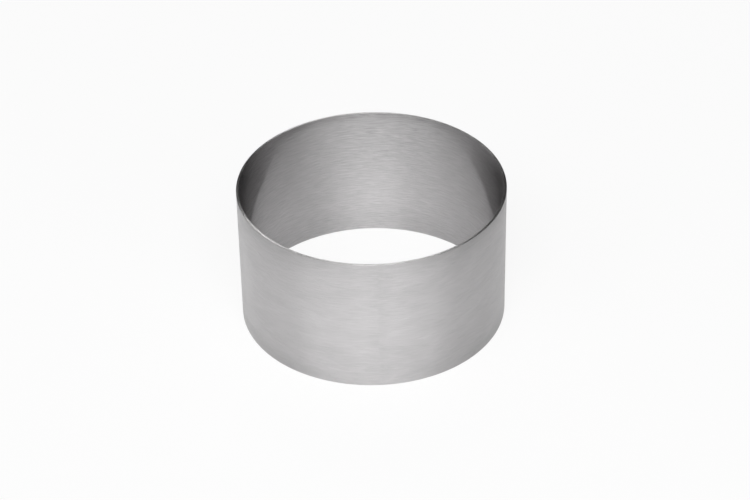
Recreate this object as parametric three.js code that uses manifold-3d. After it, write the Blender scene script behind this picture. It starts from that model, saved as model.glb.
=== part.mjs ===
// A pastry ring: a strip of thin stainless sheet, rolled into a hoop and butt-welded along one upright line.
// Millimetres, +Z up. The origin is the centre of the lower opening, on the surface that the ring stands on.
import * as THREE from "three";
import { mergeVertices } from "three/addons/utils/BufferGeometryUtils.js";
import Module from "manifold-3d";

// Driving dimensions of the band
const INSIDE_DIAMETER = 90;
const BAND_HEIGHT = 50;
const SHEET_THICKNESS = 0.8;
const EDGE_RADIUS = 0.1;

// Driving dimensions of the weld, which closes the gap between the band's two ends
const WELD_WIDTH = 1.6;
const WELD_BEARING_DEG = -87;
const ROOT_BEAD_HEIGHT = 0.12;
const ROOT_BEAD_INSET = 0.2;
const ROOT_BEAD_SETBACK = 1;

// Facet counts. A rounded edge gets twice EDGE_STEPS facets.
const BAND_STEPS = 144;
const WELD_STEPS = 2;
const EDGE_STEPS = 1;
const BEAD_STEPS = 8;

// A rounded edge takes at most this share of half the sheet, so that a flat land is left on the rim.
const LARGEST_EDGE_SHARE = 0.9;

// Vertices closer than this are one vertex.
const MERGE_DISTANCE = 1e-4;

// Worked out from the dimensions above
const INSIDE_RADIUS = INSIDE_DIAMETER / 2;
const MID_WALL_RADIUS = INSIDE_RADIUS + SHEET_THICKNESS / 2;
const WELD_BEARING = THREE.MathUtils.degToRad(WELD_BEARING_DEG);
const WELD_HALF_ANGLE = WELD_WIDTH / 2 / MID_WALL_RADIUS;
const ROOT_BEAD_HALF_WIDTH = INSIDE_RADIUS * Math.sin(WELD_HALF_ANGLE) - ROOT_BEAD_INSET;
const ROOT_BEAD_DEPTH_IN_WALL = SHEET_THICKNESS / 2;

const bandSteel = new THREE.MeshStandardMaterial({ color: 0xb9b8b9, roughness: 0.34, metalness: 1 });
const weldSteel = new THREE.MeshStandardMaterial({ color: 0xaeadac, roughness: 0.42, metalness: 1 });

// A level arc about the Z axis, at the middle of the wall.
class WallArc extends THREE.Curve {
  constructor(fromAngle, toAngle) {
    super();
    this.fromAngle = fromAngle;
    this.toAngle = toAngle;
  }

  angleAt(t) {
    return THREE.MathUtils.lerp(this.fromAngle, this.toAngle, t);
  }

  getPoint(t, target = new THREE.Vector3()) {
    const angle = this.angleAt(t);
    return target.set(
      MID_WALL_RADIUS * Math.cos(angle),
      MID_WALL_RADIUS * Math.sin(angle),
      BAND_HEIGHT / 2,
    );
  }

  getTangent(t, target = new THREE.Vector3()) {
    const angle = this.angleAt(t);
    return target.set(-Math.sin(angle), Math.cos(angle), 0);
  }
}

// The strip's section: as tall as the band and as thick as the sheet, with its four edges rounded.
function stripSection() {
  const halfHeight = BAND_HEIGHT / 2;
  const halfThickness = SHEET_THICKNESS / 2;
  const radius = Math.min(EDGE_RADIUS, halfThickness * LARGEST_EDGE_SHARE);
  const x = halfHeight - radius;
  const y = halfThickness - radius;
  const quarter = Math.PI / 2;
  const section = new THREE.Shape();
  section.absarc(x, y, radius, 0, quarter);
  section.absarc(-x, y, radius, quarter, 2 * quarter);
  section.absarc(-x, -y, radius, 2 * quarter, 3 * quarter);
  section.absarc(x, -y, radius, 3 * quarter, 4 * quarter);
  return section;
}

// A stretch of the wall, swept along the arc between two angles.
function wallStretch(fromAngle, toAngle, steps) {
  return new THREE.ExtrudeGeometry(stripSection(), {
    steps,
    curveSegments: EDGE_STEPS,
    extrudePath: new WallArc(fromAngle, toAngle),
  });
}

// The low crown that the weld leaves on the inside, set back from both rims, where it is ground off.
function rootBead() {
  const half = ROOT_BEAD_HALF_WIDTH;
  const crown = new THREE.Shape();
  crown.moveTo(-half, 0);
  crown.lineTo(-half, -ROOT_BEAD_DEPTH_IN_WALL);
  crown.lineTo(half, -ROOT_BEAD_DEPTH_IN_WALL);
  crown.lineTo(half, 0);
  crown.quadraticCurveTo(0, 2 * ROOT_BEAD_HEIGHT, -half, 0);
  const bead = new THREE.ExtrudeGeometry(crown, {
    depth: BAND_HEIGHT - 2 * ROOT_BEAD_SETBACK,
    curveSegments: BEAD_STEPS,
    bevelEnabled: false,
  });
  // The crown's Y points from the wall's inner face towards the axis.
  bead.translate(0, -INSIDE_RADIUS, ROOT_BEAD_SETBACK);
  return bead.rotateZ(WELD_BEARING + Math.PI / 2);
}

const wasm = await Module();
wasm.setup();

// A closed geometry as a solid that can be joined and cut.
function solidOf(geometry) {
  const bare = geometry.clone();
  bare.deleteAttribute("normal");
  bare.deleteAttribute("uv");
  const merged = mergeVertices(bare, MERGE_DISTANCE);
  return new wasm.Manifold(
    new wasm.Mesh({
      numProp: 3,
      vertProperties: merged.attributes.position.array,
      triVerts: new Uint32Array(merged.index.array),
    }),
  );
}

// A solid's surface as a geometry with its own normals.
function geometryOf(solid) {
  const mesh = solid.getMesh();
  const geometry = new THREE.BufferGeometry();
  geometry.setAttribute("position", new THREE.BufferAttribute(mesh.vertProperties, mesh.numProp));
  geometry.setIndex(new THREE.BufferAttribute(mesh.triVerts, 1));
  geometry.computeVertexNormals();
  return geometry;
}

function rolledBand() {
  const fullTurn = 2 * Math.PI;
  const geometry = wallStretch(
    WELD_BEARING + WELD_HALF_ANGLE,
    WELD_BEARING + fullTurn - WELD_HALF_ANGLE,
    BAND_STEPS,
  );
  const mesh = new THREE.Mesh(geometry, bandSteel);
  mesh.name = "rolled_band";
  return mesh;
}

function weldSeam() {
  const through = wallStretch(
    WELD_BEARING - WELD_HALF_ANGLE,
    WELD_BEARING + WELD_HALF_ANGLE,
    WELD_STEPS,
  );
  const mesh = new THREE.Mesh(geometryOf(solidOf(through).add(solidOf(rootBead()))), weldSteel);
  mesh.name = "weld_seam";
  return mesh;
}

const pastryRing = new THREE.Group();
pastryRing.name = "pastry_ring";
pastryRing.add(rolledBand(), weldSeam());

export default pastryRing;
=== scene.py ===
"""A pastry ring: a strip of brushed stainless sheet, rolled into a hoop and butt-welded, on a pale studio floor."""
import math

import bpy
from mathutils import Matrix, Vector


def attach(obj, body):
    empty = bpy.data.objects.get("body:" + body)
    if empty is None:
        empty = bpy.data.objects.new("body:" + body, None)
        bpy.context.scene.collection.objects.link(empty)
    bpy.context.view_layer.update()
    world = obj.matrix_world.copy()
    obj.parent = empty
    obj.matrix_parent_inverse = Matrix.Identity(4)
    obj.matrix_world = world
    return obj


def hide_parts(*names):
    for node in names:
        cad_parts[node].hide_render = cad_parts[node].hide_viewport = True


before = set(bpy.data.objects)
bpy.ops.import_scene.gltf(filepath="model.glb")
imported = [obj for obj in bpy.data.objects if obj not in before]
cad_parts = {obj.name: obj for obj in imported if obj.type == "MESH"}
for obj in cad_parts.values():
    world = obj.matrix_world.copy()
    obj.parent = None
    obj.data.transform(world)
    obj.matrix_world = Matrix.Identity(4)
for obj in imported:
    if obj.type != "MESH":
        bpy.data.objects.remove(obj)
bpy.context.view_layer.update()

# The ring's sizes in metres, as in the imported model. The outer face is kept a hair inside the model's box.
# The rims differ: here they slope outward, as deburring leaves them, and have sharper edges.
INSIDE_RADIUS = 0.045
SHEET = 0.00079
HEIGHT = 0.05
EDGE_ROUND = 0.00006
RIM_SLOPE = math.radians(8)
WELD_WIDTH = 0.0016
WELD_BEARING = math.radians(-87)

# The weld's root bead on the inside, and the ripples that the torch left in it
BEAD_HEIGHT = 0.00012
BEAD_HALF_WIDTH = 0.0006
BEAD_SETBACK = 0.001
BEAD_FADE = 0.0015
RIPPLE_PITCH = 0.0011
RIPPLE_SHARE = 0.5

# How finely the strip is rolled
BAND_STEPS = 360
BAND_CUTS = 15
WELD_STEPS = 10
WELD_CUTS = 199
EDGE_STEPS = 4
MERGE_DISTANCE = 1e-7
SMOOTH_ANGLE = math.radians(40)

# A face belongs to a rim if its normal points up or down by more than this.
RIM_FACING = 0.6

# Colours of bare steel, with each face's share of it, of the stain beside the weld, of the rim and of the weld's root
STEEL = (0.561, 0.5515, 0.556)
OUTSIDE_SHADE, INSIDE_SHADE, WELD_FACE_SHADE = 1.055, 1.015, 1.045
HEAT_STAIN = (0.50, 0.45, 0.38)
RIM_DARK, RIM_LIGHT = (0.60, 0.59, 0.59), (0.80, 0.79, 0.79)
ROOT_DARK, ROOT_LIGHT = (0.33, 0.31, 0.285), (0.45, 0.44, 0.43)

# How far the steel's tone swings about its own colour, and how far from the weld and the rims each change reaches
DARKEST, LIGHTEST = 0.8, 1.2
STAIN_REACH = 0.0032
WELD_SHADE, WELD_SHADE_REACH = 0.08, 0.005
# The painted shade along the rims: how far up the wall it reaches, and how far from the weld it is left out
RIM_SHADE_WIDTH, RIM_SHADE_GAP = 0.008, 0.035

# The turn given to the noise's lattice, and how softly scratches and land meet
LATTICE_TURN = 0.65
SCRATCH_SOFTNESS = 0.015

# A quarter of a turn, so that highlights spread across the grooves and not along them
ACROSS_GROOVES = 0.25

# The brushed faces. Roughness is of the smooth land and of the scratches, which begin where the noise passes a limit.
# Then come the strengths of the marks in the tone, the level of the belt of painted sheen, and the painted shade along
# the rims.
OUTSIDE_BRUSHING = dict(
    land=0.15, scratch=0.65, limit=0.45, along=0.85, grazing=1.0,
    streak=0.5, mottle=0.28, rub=0.2, painted_sheen=0.16, level=0.025, rim_shade=0.32, stain=0.0,
)
INSIDE_BRUSHING = dict(
    land=0.15, scratch=0.7, limit=0.42, along=0.9, grazing=0.2,
    streak=1.2, mottle=0.15, rub=0.1, painted_sheen=0.28, level=0.014, rim_shade=0.0, stain=0.4,
)

# Camera, as fitted to the photograph
LENS_MM = 115.7
SENSOR_MM = 36
CAMERA_DISTANCE = 0.830
CAMERA_ELEVATION = math.radians(35.99)
CAMERA_ROLL = math.radians(-1.08)
RING_RIGHT_OF_CENTRE = -0.00086
RING_ABOVE_CENTRE = 0.00174

# The floor's own paint, and how far it is lifted to white for the camera and for the metal that mirrors it
FLOOR_WIDTH = 40
FLOOR_PAINT = 0.95
FLOOR_LIFT = 0.88
ROOM_LIGHT = 0.01

MIDDLE_RADIUS = INSIDE_RADIUS + SHEET / 2
WELD_ANGLE = WELD_WIDTH / MIDDLE_RADIUS
FULL_TURN = 2 * math.pi
STRIP_LENGTH = FULL_TURN * MIDDLE_RADIUS


# Modelling


def stand_section(name, bearing, cuts):
    """A flat face in the shape of the strip's section, with rounded edges, stood across the wall at a bearing."""
    bpy.ops.object.select_all(action="DESELECT")
    place = (MIDDLE_RADIUS * math.cos(bearing), MIDDLE_RADIUS * math.sin(bearing), HEIGHT / 2)
    bpy.ops.mesh.primitive_plane_add(size=1, location=place, rotation=(math.pi / 2, 0, bearing))
    piece = bpy.context.object
    piece.name = piece.data.name = name
    piece.scale = (SHEET, HEIGHT, 1)
    bpy.ops.object.transform_apply(location=True, rotation=True, scale=True)
    slope_rims(piece)
    bpy.ops.object.mode_set(mode="EDIT")
    bpy.ops.mesh.select_all(action="SELECT")
    bpy.ops.mesh.bevel(offset=EDGE_ROUND, segments=EDGE_STEPS, affect="VERTICES")
    bpy.ops.mesh.select_all(action="DESELECT")
    bpy.ops.object.mode_set(mode="OBJECT")
    points = piece.data.vertices
    for edge in piece.data.edges:
        low, high = (points[i].co.z for i in edge.vertices)
        edge.select = abs(high - low) > HEIGHT / 2
    bpy.ops.object.mode_set(mode="EDIT")
    bpy.ops.mesh.subdivide(number_cuts=cuts)
    return piece


def slope_rims(piece):
    """Lowers the section's outer corners, as deburring does, and keeps the full height once the edges are rounded."""
    for corner in piece.data.vertices:
        drop = -EDGE_ROUND * math.sin(RIM_SLOPE)
        if math.hypot(corner.co.x, corner.co.y) > MIDDLE_RADIUS:
            drop += SHEET * math.tan(RIM_SLOPE)
        corner.co.z -= math.copysign(drop, drop * (corner.co.z - HEIGHT / 2))


def roll(piece, angle, steps):
    """Rolls the section, still in edit mode, round the ring's axis into a closed stretch of the wall."""
    bpy.ops.mesh.select_all(action="SELECT")
    bpy.ops.mesh.spin(steps=steps, angle=-angle, center=(0, 0, 0), axis=(0, 0, 1))
    bpy.ops.mesh.select_all(action="SELECT")
    bpy.ops.mesh.remove_doubles(threshold=MERGE_DISTANCE)
    bpy.ops.mesh.normals_make_consistent(inside=False)
    bpy.ops.object.mode_set(mode="OBJECT")
    return piece


def make_band():
    piece = stand_section("band_of_brushed_sheet", WELD_BEARING + WELD_ANGLE / 2, BAND_CUTS)
    return roll(piece, FULL_TURN - WELD_ANGLE, BAND_STEPS)


def make_weld():
    piece = stand_section("ground_weld", WELD_BEARING - WELD_ANGLE / 2, WELD_CUTS)
    roll(piece, WELD_ANGLE, WELD_STEPS)
    raise_bead(piece)
    return piece


def raise_bead(piece):
    """Swells the weld's inner face into a low rippled crown that dies out before the rims."""
    crown = piece.vertex_groups.new(name="root_bead")
    for point in piece.data.vertices:
        if math.hypot(point.co.x, point.co.y) < INSIDE_RADIUS + SHEET / 8:
            crown.add([point.index], bead_share(point.co), "REPLACE")
    swell = piece.modifiers.new("swell", "DISPLACE")
    swell.vertex_group = crown.name
    swell.mid_level = 0
    swell.strength = BEAD_HEIGHT
    bpy.ops.object.modifier_apply(modifier=swell.name)


def bead_share(point):
    """How much of the bead's height stands at a point: a round crown with crescent ripples, faded at both ends."""
    across = (math.atan2(point.y, point.x) - WELD_BEARING) * INSIDE_RADIUS / BEAD_HALF_WIDTH
    to_rim = min(point.z, HEIGHT - point.z) - BEAD_SETBACK
    fade = min(max(to_rim / BEAD_FADE, 0), 1)
    ripple = math.cos(FULL_TURN * (point.z / RIPPLE_PITCH + across * across / 2))
    return max(1 - across * across, 0) * fade * (1 - RIPPLE_SHARE / 2 + RIPPLE_SHARE / 2 * ripple)


def unroll_map(piece):
    """A UV map in metres: the length along the strip from the weld, and the way up the outside and down the inside."""
    mesh = piece.data
    layer = mesh.uv_layers.new(name="strip").data
    for face in mesh.polygons:
        side = side_of(face)
        for corner in face.loop_indices:
            x, y, z = mesh.vertices[mesh.loops[corner].vertex_index].co
            turn = (math.atan2(y, x) - WELD_BEARING + WELD_ANGLE) % FULL_TURN - WELD_ANGLE
            # The band's far end lies before the weld's middle, so it is counted a turn further on.
            if piece.name.startswith("band") and turn < WELD_ANGLE / 4:
                turn += FULL_TURN
            depth = INSIDE_RADIUS + SHEET - math.hypot(x, y)
            up = {"outside": z, "top": HEIGHT + depth, "inside": 2 * HEIGHT + SHEET - z, "bottom": -depth}[side]
            layer[corner].uv = (turn * MIDDLE_RADIUS, up)


def side_of(face):
    """Which side of the wall a face is on."""
    if abs(face.normal.z) > RIM_FACING:
        return "top" if face.normal.z > 0 else "bottom"
    outward = face.normal.x * face.center.x + face.normal.y * face.center.y
    return "outside" if outward > 0 else "inside"


# Finishes


def node(tree, kind, **values):
    """A new node with its settings, or its sockets' values, by name."""
    made = tree.nodes.new(kind)
    for name, value in values.items():
        if hasattr(made, name):
            setattr(made, name, value)
        else:
            made.inputs[name.replace("_", " ")].default_value = value
    return made


def strip_place(tree):
    return node(tree, "ShaderNodeUVMap", uv_map="strip").outputs["UV"]


def level_of(tree):
    """The height above the floor."""
    place = node(tree, "ShaderNodeTexCoord")
    parts = node(tree, "ShaderNodeSeparateXYZ")
    tree.links.new(place.outputs["Object"], parts.inputs[0])
    return parts.outputs["Z"]


def grain(tree, length, width, lean=0.0, detail=0.0, wander=0.0):
    """Noise in marks of a length and width in metres, which lean off the strip's own direction by an angle.

    The noise's square lattice is turned once more, after the stretch, so that its columns don't show as upright bands.
    """
    turned = node(tree, "ShaderNodeMapping", vector_type="TEXTURE")
    turned.inputs["Rotation"].default_value = (0, 0, lean)
    turned.inputs["Scale"].default_value = (length, width, 1)
    tree.links.new(strip_place(tree), turned.inputs["Vector"])
    askew = node(tree, "ShaderNodeVectorRotate", rotation_type="Z_AXIS", Angle=LATTICE_TURN)
    tree.links.new(turned.outputs["Vector"], askew.inputs["Vector"])
    marks = node(tree, "ShaderNodeTexNoise", noise_dimensions="2D", Scale=1.0, Detail=detail, Distortion=wander)
    tree.links.new(askew.outputs["Vector"], marks.inputs["Vector"])
    return marks.outputs["Fac"]


def spread(tree, value, low, high, to_low, to_high, ease="LINEAR"):
    """Moves a value from one range to another, held at both ends."""
    moved = node(
        tree, "ShaderNodeMapRange", interpolation_type=ease, From_Min=low, From_Max=high, To_Min=to_low, To_Max=to_high
    )
    tree.links.new(value, moved.inputs["Value"])
    return moved.outputs["Result"]


def weighed(tree, parts, start=0.0):
    """The sum of some values, each times its weight."""
    total = None
    for value, weight in parts:
        step = node(tree, "ShaderNodeMath", operation="MULTIPLY_ADD")
        tree.links.new(value, step.inputs[0])
        step.inputs[1].default_value = weight
        if total is None:
            step.inputs[2].default_value = start
        else:
            tree.links.new(total, step.inputs[2])
        total = step.outputs[0]
    return total


def product(tree, first, second):
    both = node(tree, "ShaderNodeMath", operation="MULTIPLY")
    tree.links.new(first, both.inputs[0])
    tree.links.new(second, both.inputs[1])
    return both.outputs[0]


def there_and_back(tree, value, turning_point):
    """A value that climbs to a turning point and falls back to nothing, over and over."""
    folded = node(tree, "ShaderNodeMath", operation="PINGPONG")
    tree.links.new(value, folded.inputs[0])
    folded.inputs[1].default_value = turning_point
    return folded.outputs[0]


def blend(tree, share, first, second):
    """A colour between two others, which may be plain or come from nodes."""
    mixed = node(tree, "ShaderNodeMix", data_type="RGBA")
    tree.links.new(share, mixed.inputs["Factor"])
    # The node has sockets of one name for each kind of value. Inputs 6 and 7 and output 2 are those for colours.
    for socket, colour in ((mixed.inputs[6], first), (mixed.inputs[7], second)):
        if isinstance(colour, tuple):
            socket.default_value = (*colour, 1)
        else:
            tree.links.new(colour, socket)
    return mixed.outputs[2]


def near_weld(tree, reach):
    """One at the weld, falling to nothing at a distance along the strip."""
    parts = node(tree, "ShaderNodeSeparateXYZ")
    tree.links.new(strip_place(tree), parts.inputs[0])
    away = there_and_back(tree, parts.outputs["X"], STRIP_LENGTH / 2)
    return spread(tree, away, 0, reach, 1, 0)


def painted_sheen_belt(tree, level):
    """Painted sheen: one round the wall at a level, falling to nothing at the rims."""
    height = level_of(tree)
    rise = spread(tree, height, 0, level, 0, 1, "SMOOTHSTEP")
    fall = spread(tree, height, level, HEIGHT, 1, 0, "SMOOTHSTEP")
    return product(tree, rise, fall)


def painted_rim_shade(tree):
    """Painted shade: one along both rims, falling to nothing up the wall, and left out beside the weld."""
    from_rim = there_and_back(tree, level_of(tree), HEIGHT / 2)
    rim_shade = spread(tree, from_rim, 0, RIM_SHADE_WIDTH, 1, 0, "SMOOTHSTEP")
    shade_kept = weighed(tree, [(near_weld(tree, RIM_SHADE_GAP), -1.0)], 1.0)
    return product(tree, rim_shade, shade_kept)


def shaded(base, factor):
    return tuple(factor * part for part in base)


def steel(name, along, grazing):
    """A bare metal shader whose highlights spread across the strip, as grooves that run along it make them."""
    material = bpy.data.materials.new(name)
    material.use_nodes = True
    tree = material.node_tree
    shader = tree.nodes["Principled BSDF"]
    shader.inputs["Metallic"].default_value = 1
    shader.inputs["Anisotropic"].default_value = along
    shader.inputs["Anisotropic Rotation"].default_value = ACROSS_GROOVES
    shader.inputs["Specular Tint"].default_value = (grazing, grazing, grazing, 1)
    tangent = node(tree, "ShaderNodeTangent", direction_type="UV_MAP", uv_map="strip")
    tree.links.new(tangent.outputs[0], shader.inputs["Tangent"])
    return material, tree, shader


def bump(tree, height, depth, under=None):
    """A relief of a depth in metres, over another if there is one."""
    made = node(tree, "ShaderNodeBump", Distance=depth)
    tree.links.new(height, made.inputs["Height"])
    if under is not None:
        tree.links.new(under, made.inputs["Normal"])
    return made.outputs["Normal"]


def brushed_steel(
    name, base, land, scratch, limit, along, grazing, streak, mottle, rub, painted_sheen, level, rim_shade, stain
):
    """Brushed sheet: smooth land between fine scratches, with streaks, mottling and rub marks in its tone."""
    material, tree, shader = steel(name, along, grazing)
    long_streaks = grain(tree, length=0.014, width=0.00027, lean=0.012, detail=3)
    short_streaks = grain(tree, length=0.0042, width=0.00021, detail=2)
    cross_streaks = grain(tree, length=0.005, width=0.0003, lean=-0.08, detail=2)
    scratches = grain(tree, length=0.0003, width=0.00003)
    patches = grain(tree, length=0.012, width=0.005, detail=3)
    rubs = grain(tree, length=0.022, width=0.0045, lean=0.25, detail=2, wander=1.6)
    waves = grain(tree, length=0.020, width=0.012, detail=1)

    gathered = weighed(tree, [(scratches, 1.0), (long_streaks, 0.12), (short_streaks, 0.1)], start=-0.11)
    roughness = spread(tree, gathered, limit - SCRATCH_SOFTNESS, limit + SCRATCH_SOFTNESS, land, scratch)
    tree.links.new(roughness, shader.inputs["Roughness"])

    marks = [
        (short_streaks, streak),
        (long_streaks, streak / 2),
        (cross_streaks, streak / 2),
        (patches, mottle),
        (rubs, rub),
        # A belt of painted sheen, brighter round the wall at a level
        (painted_sheen_belt(tree, level), painted_sheen),
    ]
    even = 0.5 - sum(weight for _, weight in marks) / 2
    # The weld's darker ground zone, and painted shade along the rims
    shades = [(near_weld(tree, WELD_SHADE_REACH), -WELD_SHADE), (painted_rim_shade(tree), -rim_shade)]
    tone = weighed(tree, marks + shades, even)
    colour = blend(tree, tone, shaded(base, DARKEST), shaded(base, LIGHTEST))
    heat = weighed(tree, [(near_weld(tree, STAIN_REACH), stain)])
    tree.links.new(blend(tree, heat, colour, HEAT_STAIN), shader.inputs["Base Color"])

    rolled = bump(tree, waves, depth=0.00005)
    tree.links.new(bump(tree, long_streaks, depth=0.000002, under=rolled), shader.inputs["Normal"])
    return material


def ground_rim(name):
    """The cut edge of the sheet, deburred by hand: ground along its length, with small nicks."""
    material, tree, shader = steel(name, along=0.9, grazing=1.0)
    lines = grain(tree, length=0.006, width=0.00008, detail=1)
    nicks = grain(tree, length=0.0018, width=0.0006, detail=2)
    roughness = spread(tree, lines, low=0.4, high=0.6, to_low=0.25, to_high=0.34)
    tree.links.new(roughness, shader.inputs["Roughness"])
    tone = weighed(tree, [(lines, 0.6), (nicks, 0.8)], start=-0.2)
    tree.links.new(blend(tree, tone, RIM_DARK, RIM_LIGHT), shader.inputs["Base Color"])
    tree.links.new(bump(tree, nicks, depth=0.00001), shader.inputs["Normal"])
    return material


def bead_metal(name):
    """The weld's inner face: cast metal, rippled and stained by the heat."""
    material, tree, shader = steel(name, along=0.0, grazing=0.25)
    scale = grain(tree, length=0.0011, width=0.0006, detail=3)
    stains = grain(tree, length=0.004, width=0.0025, detail=2)
    roughness = spread(tree, scale, low=0.35, high=0.65, to_low=0.3, to_high=0.55)
    tree.links.new(roughness, shader.inputs["Roughness"])
    tone = weighed(tree, [(scale, 0.5), (stains, 0.9)], start=-0.2)
    tree.links.new(blend(tree, tone, ROOT_DARK, ROOT_LIGHT), shader.inputs["Base Color"])
    tree.links.new(bump(tree, scale, depth=0.000012), shader.inputs["Normal"])
    return material


def dress(piece, finishes):
    """Gives each side of the wall its finish."""
    for finish in finishes.values():
        piece.data.materials.append(finish)
    order = list(finishes)
    for face in piece.data.polygons:
        side = side_of(face)
        face.material_index = order.index("rim" if side in ("top", "bottom") else side)


# Studio


def lay_floor():
    """A pale painted floor, which the camera and the metal see nearly white, with the ring's soft shadow on it."""
    bpy.ops.object.select_all(action="DESELECT")
    bpy.ops.mesh.primitive_plane_add(size=FLOOR_WIDTH)
    floor = bpy.context.object
    floor.name = "floor"
    material = bpy.data.materials.new("pale_floor")
    material.use_nodes = True
    tree = material.node_tree
    tree.nodes.clear()
    paint = node(tree, "ShaderNodeBsdfDiffuse", Color=(FLOOR_PAINT, FLOOR_PAINT, FLOOR_PAINT, 1))
    white = node(tree, "ShaderNodeEmission", Strength=1.0)
    ray = node(tree, "ShaderNodeLightPath")
    lift = weighed(tree, [(ray.outputs[f"Is {kind} Ray"], FLOOR_LIFT) for kind in ("Camera", "Glossy", "Transmission")])
    held = node(tree, "ShaderNodeMath", operation="MINIMUM")
    tree.links.new(lift, held.inputs[0])
    held.inputs[1].default_value = FLOOR_LIFT
    both = node(tree, "ShaderNodeMixShader")
    out = node(tree, "ShaderNodeOutputMaterial")
    tree.links.new(held.outputs[0], both.inputs[0])
    tree.links.new(paint.outputs[0], both.inputs[1])
    tree.links.new(white.outputs[0], both.inputs[2])
    tree.links.new(both.outputs[0], out.inputs["Surface"])
    floor.data.materials.append(material)


def hang_softbox(name, place, width, height, brightness):
    """A lamp behind a diffuser, aimed at the ring. Brightness is the diffuser's own, where 1 is white."""
    bpy.ops.object.light_add(type="AREA", location=place)
    lamp = bpy.context.object
    lamp.name = name
    lamp.data.shape = "RECTANGLE"
    lamp.data.size = width
    lamp.data.size_y = height
    lamp.data.energy = math.pi * width * height * brightness
    aim = Vector((0, 0, HEIGHT / 2)) - Vector(place)
    lamp.rotation_euler = aim.to_track_quat("-Z", "Y").to_euler()


def light_studio():
    """A dim room with soft lamps in front and on the left, and small ones behind that the rims mirror."""
    world = bpy.data.worlds.new("dim_room")
    bpy.context.scene.world = world
    world.use_nodes = True
    world.node_tree.nodes["Background"].inputs["Color"].default_value = (ROOM_LIGHT, ROOM_LIGHT, ROOM_LIGHT, 1)
    hang_softbox("key_softbox", (0, -1.5, 1.8), width=1.8, height=1.0, brightness=8.0)
    hang_softbox("front_left_softbox", (-1.5, -1.7, 0.7), width=1.0, height=1.0, brightness=2.5)
    hang_softbox("front_right_softbox", (1.5, -1.7, 0.7), width=1.0, height=1.0, brightness=2.6)
    hang_softbox("left_softbox", (-2.0, -0.2, 0.5), width=1.0, height=1.0, brightness=0.9)
    hang_softbox("low_left_strip", (-1.9, 0.9, 0.12), width=1.0, height=0.2, brightness=5.0)
    hang_softbox("high_left_softbox", (-1.5, -0.9, 1.5), width=1.0, height=1.0, brightness=1.9)
    hang_softbox("rim_fill_lamp", (0.05, 1.14, 1.4), width=0.46, height=0.28, brightness=3.4)
    hang_softbox("rim_lamp", (-0.33, 1.24, 1.27), width=0.32, height=0.28, brightness=3.4)
    hang_softbox("back_rim_lamp", (-0.09, 1.68, 0.69), width=0.35, height=0.25, brightness=3.0)


def aim_camera():
    """The photograph's viewpoint: its tilt, roll and distance, with the ring slightly off the frame's centre."""
    back = Vector((0, -math.cos(CAMERA_ELEVATION), math.sin(CAMERA_ELEVATION)))
    level_up = Vector((0, math.sin(CAMERA_ELEVATION), math.cos(CAMERA_ELEVATION)))
    level_right = Vector((1, 0, 0))
    right = level_right * math.cos(CAMERA_ROLL) + level_up * math.sin(CAMERA_ROLL)
    up = level_up * math.cos(CAMERA_ROLL) - level_right * math.sin(CAMERA_ROLL)
    bpy.ops.object.camera_add()
    camera = bpy.context.object
    camera.data.lens = LENS_MM
    camera.data.sensor_width = SENSOR_MM
    middle = Vector((0, 0, HEIGHT / 2))
    place = middle + back * CAMERA_DISTANCE - right * RING_RIGHT_OF_CENTRE - up * RING_ABOVE_CENTRE
    camera.matrix_world = Matrix.Translation(place) @ Matrix((right, up, back)).transposed().to_4x4()
    bpy.context.scene.camera = camera


# The scene, put together

bpy.context.scene.view_settings.view_transform = "Standard"
aim_camera()
lay_floor()
light_studio()

outside = brushed_steel("outside_brushed", shaded(STEEL, OUTSIDE_SHADE), **OUTSIDE_BRUSHING)
inside = brushed_steel("inside_brushed", shaded(STEEL, INSIDE_SHADE), **INSIDE_BRUSHING)
weld_face = brushed_steel("weld_ground_flush", shaded(STEEL, WELD_FACE_SHADE), **OUTSIDE_BRUSHING)
rim = ground_rim("ground_rim")
bead = bead_metal("weld_root")

for piece, cad_node, slot, finishes in (
    (make_band(), "rolled_band", "brushed_stainless", {"outside": outside, "inside": inside, "rim": rim}),
    (make_weld(), "weld_seam", "weld_steel", {"outside": weld_face, "inside": bead, "rim": rim}),
):
    unroll_map(piece)
    dress(piece, finishes)
    bpy.ops.object.select_all(action="DESELECT")
    piece.select_set(True)
    bpy.context.view_layer.objects.active = piece
    bpy.ops.object.shade_smooth_by_angle(angle=SMOOTH_ANGLE)
    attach(piece, "root")
    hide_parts(cad_node)
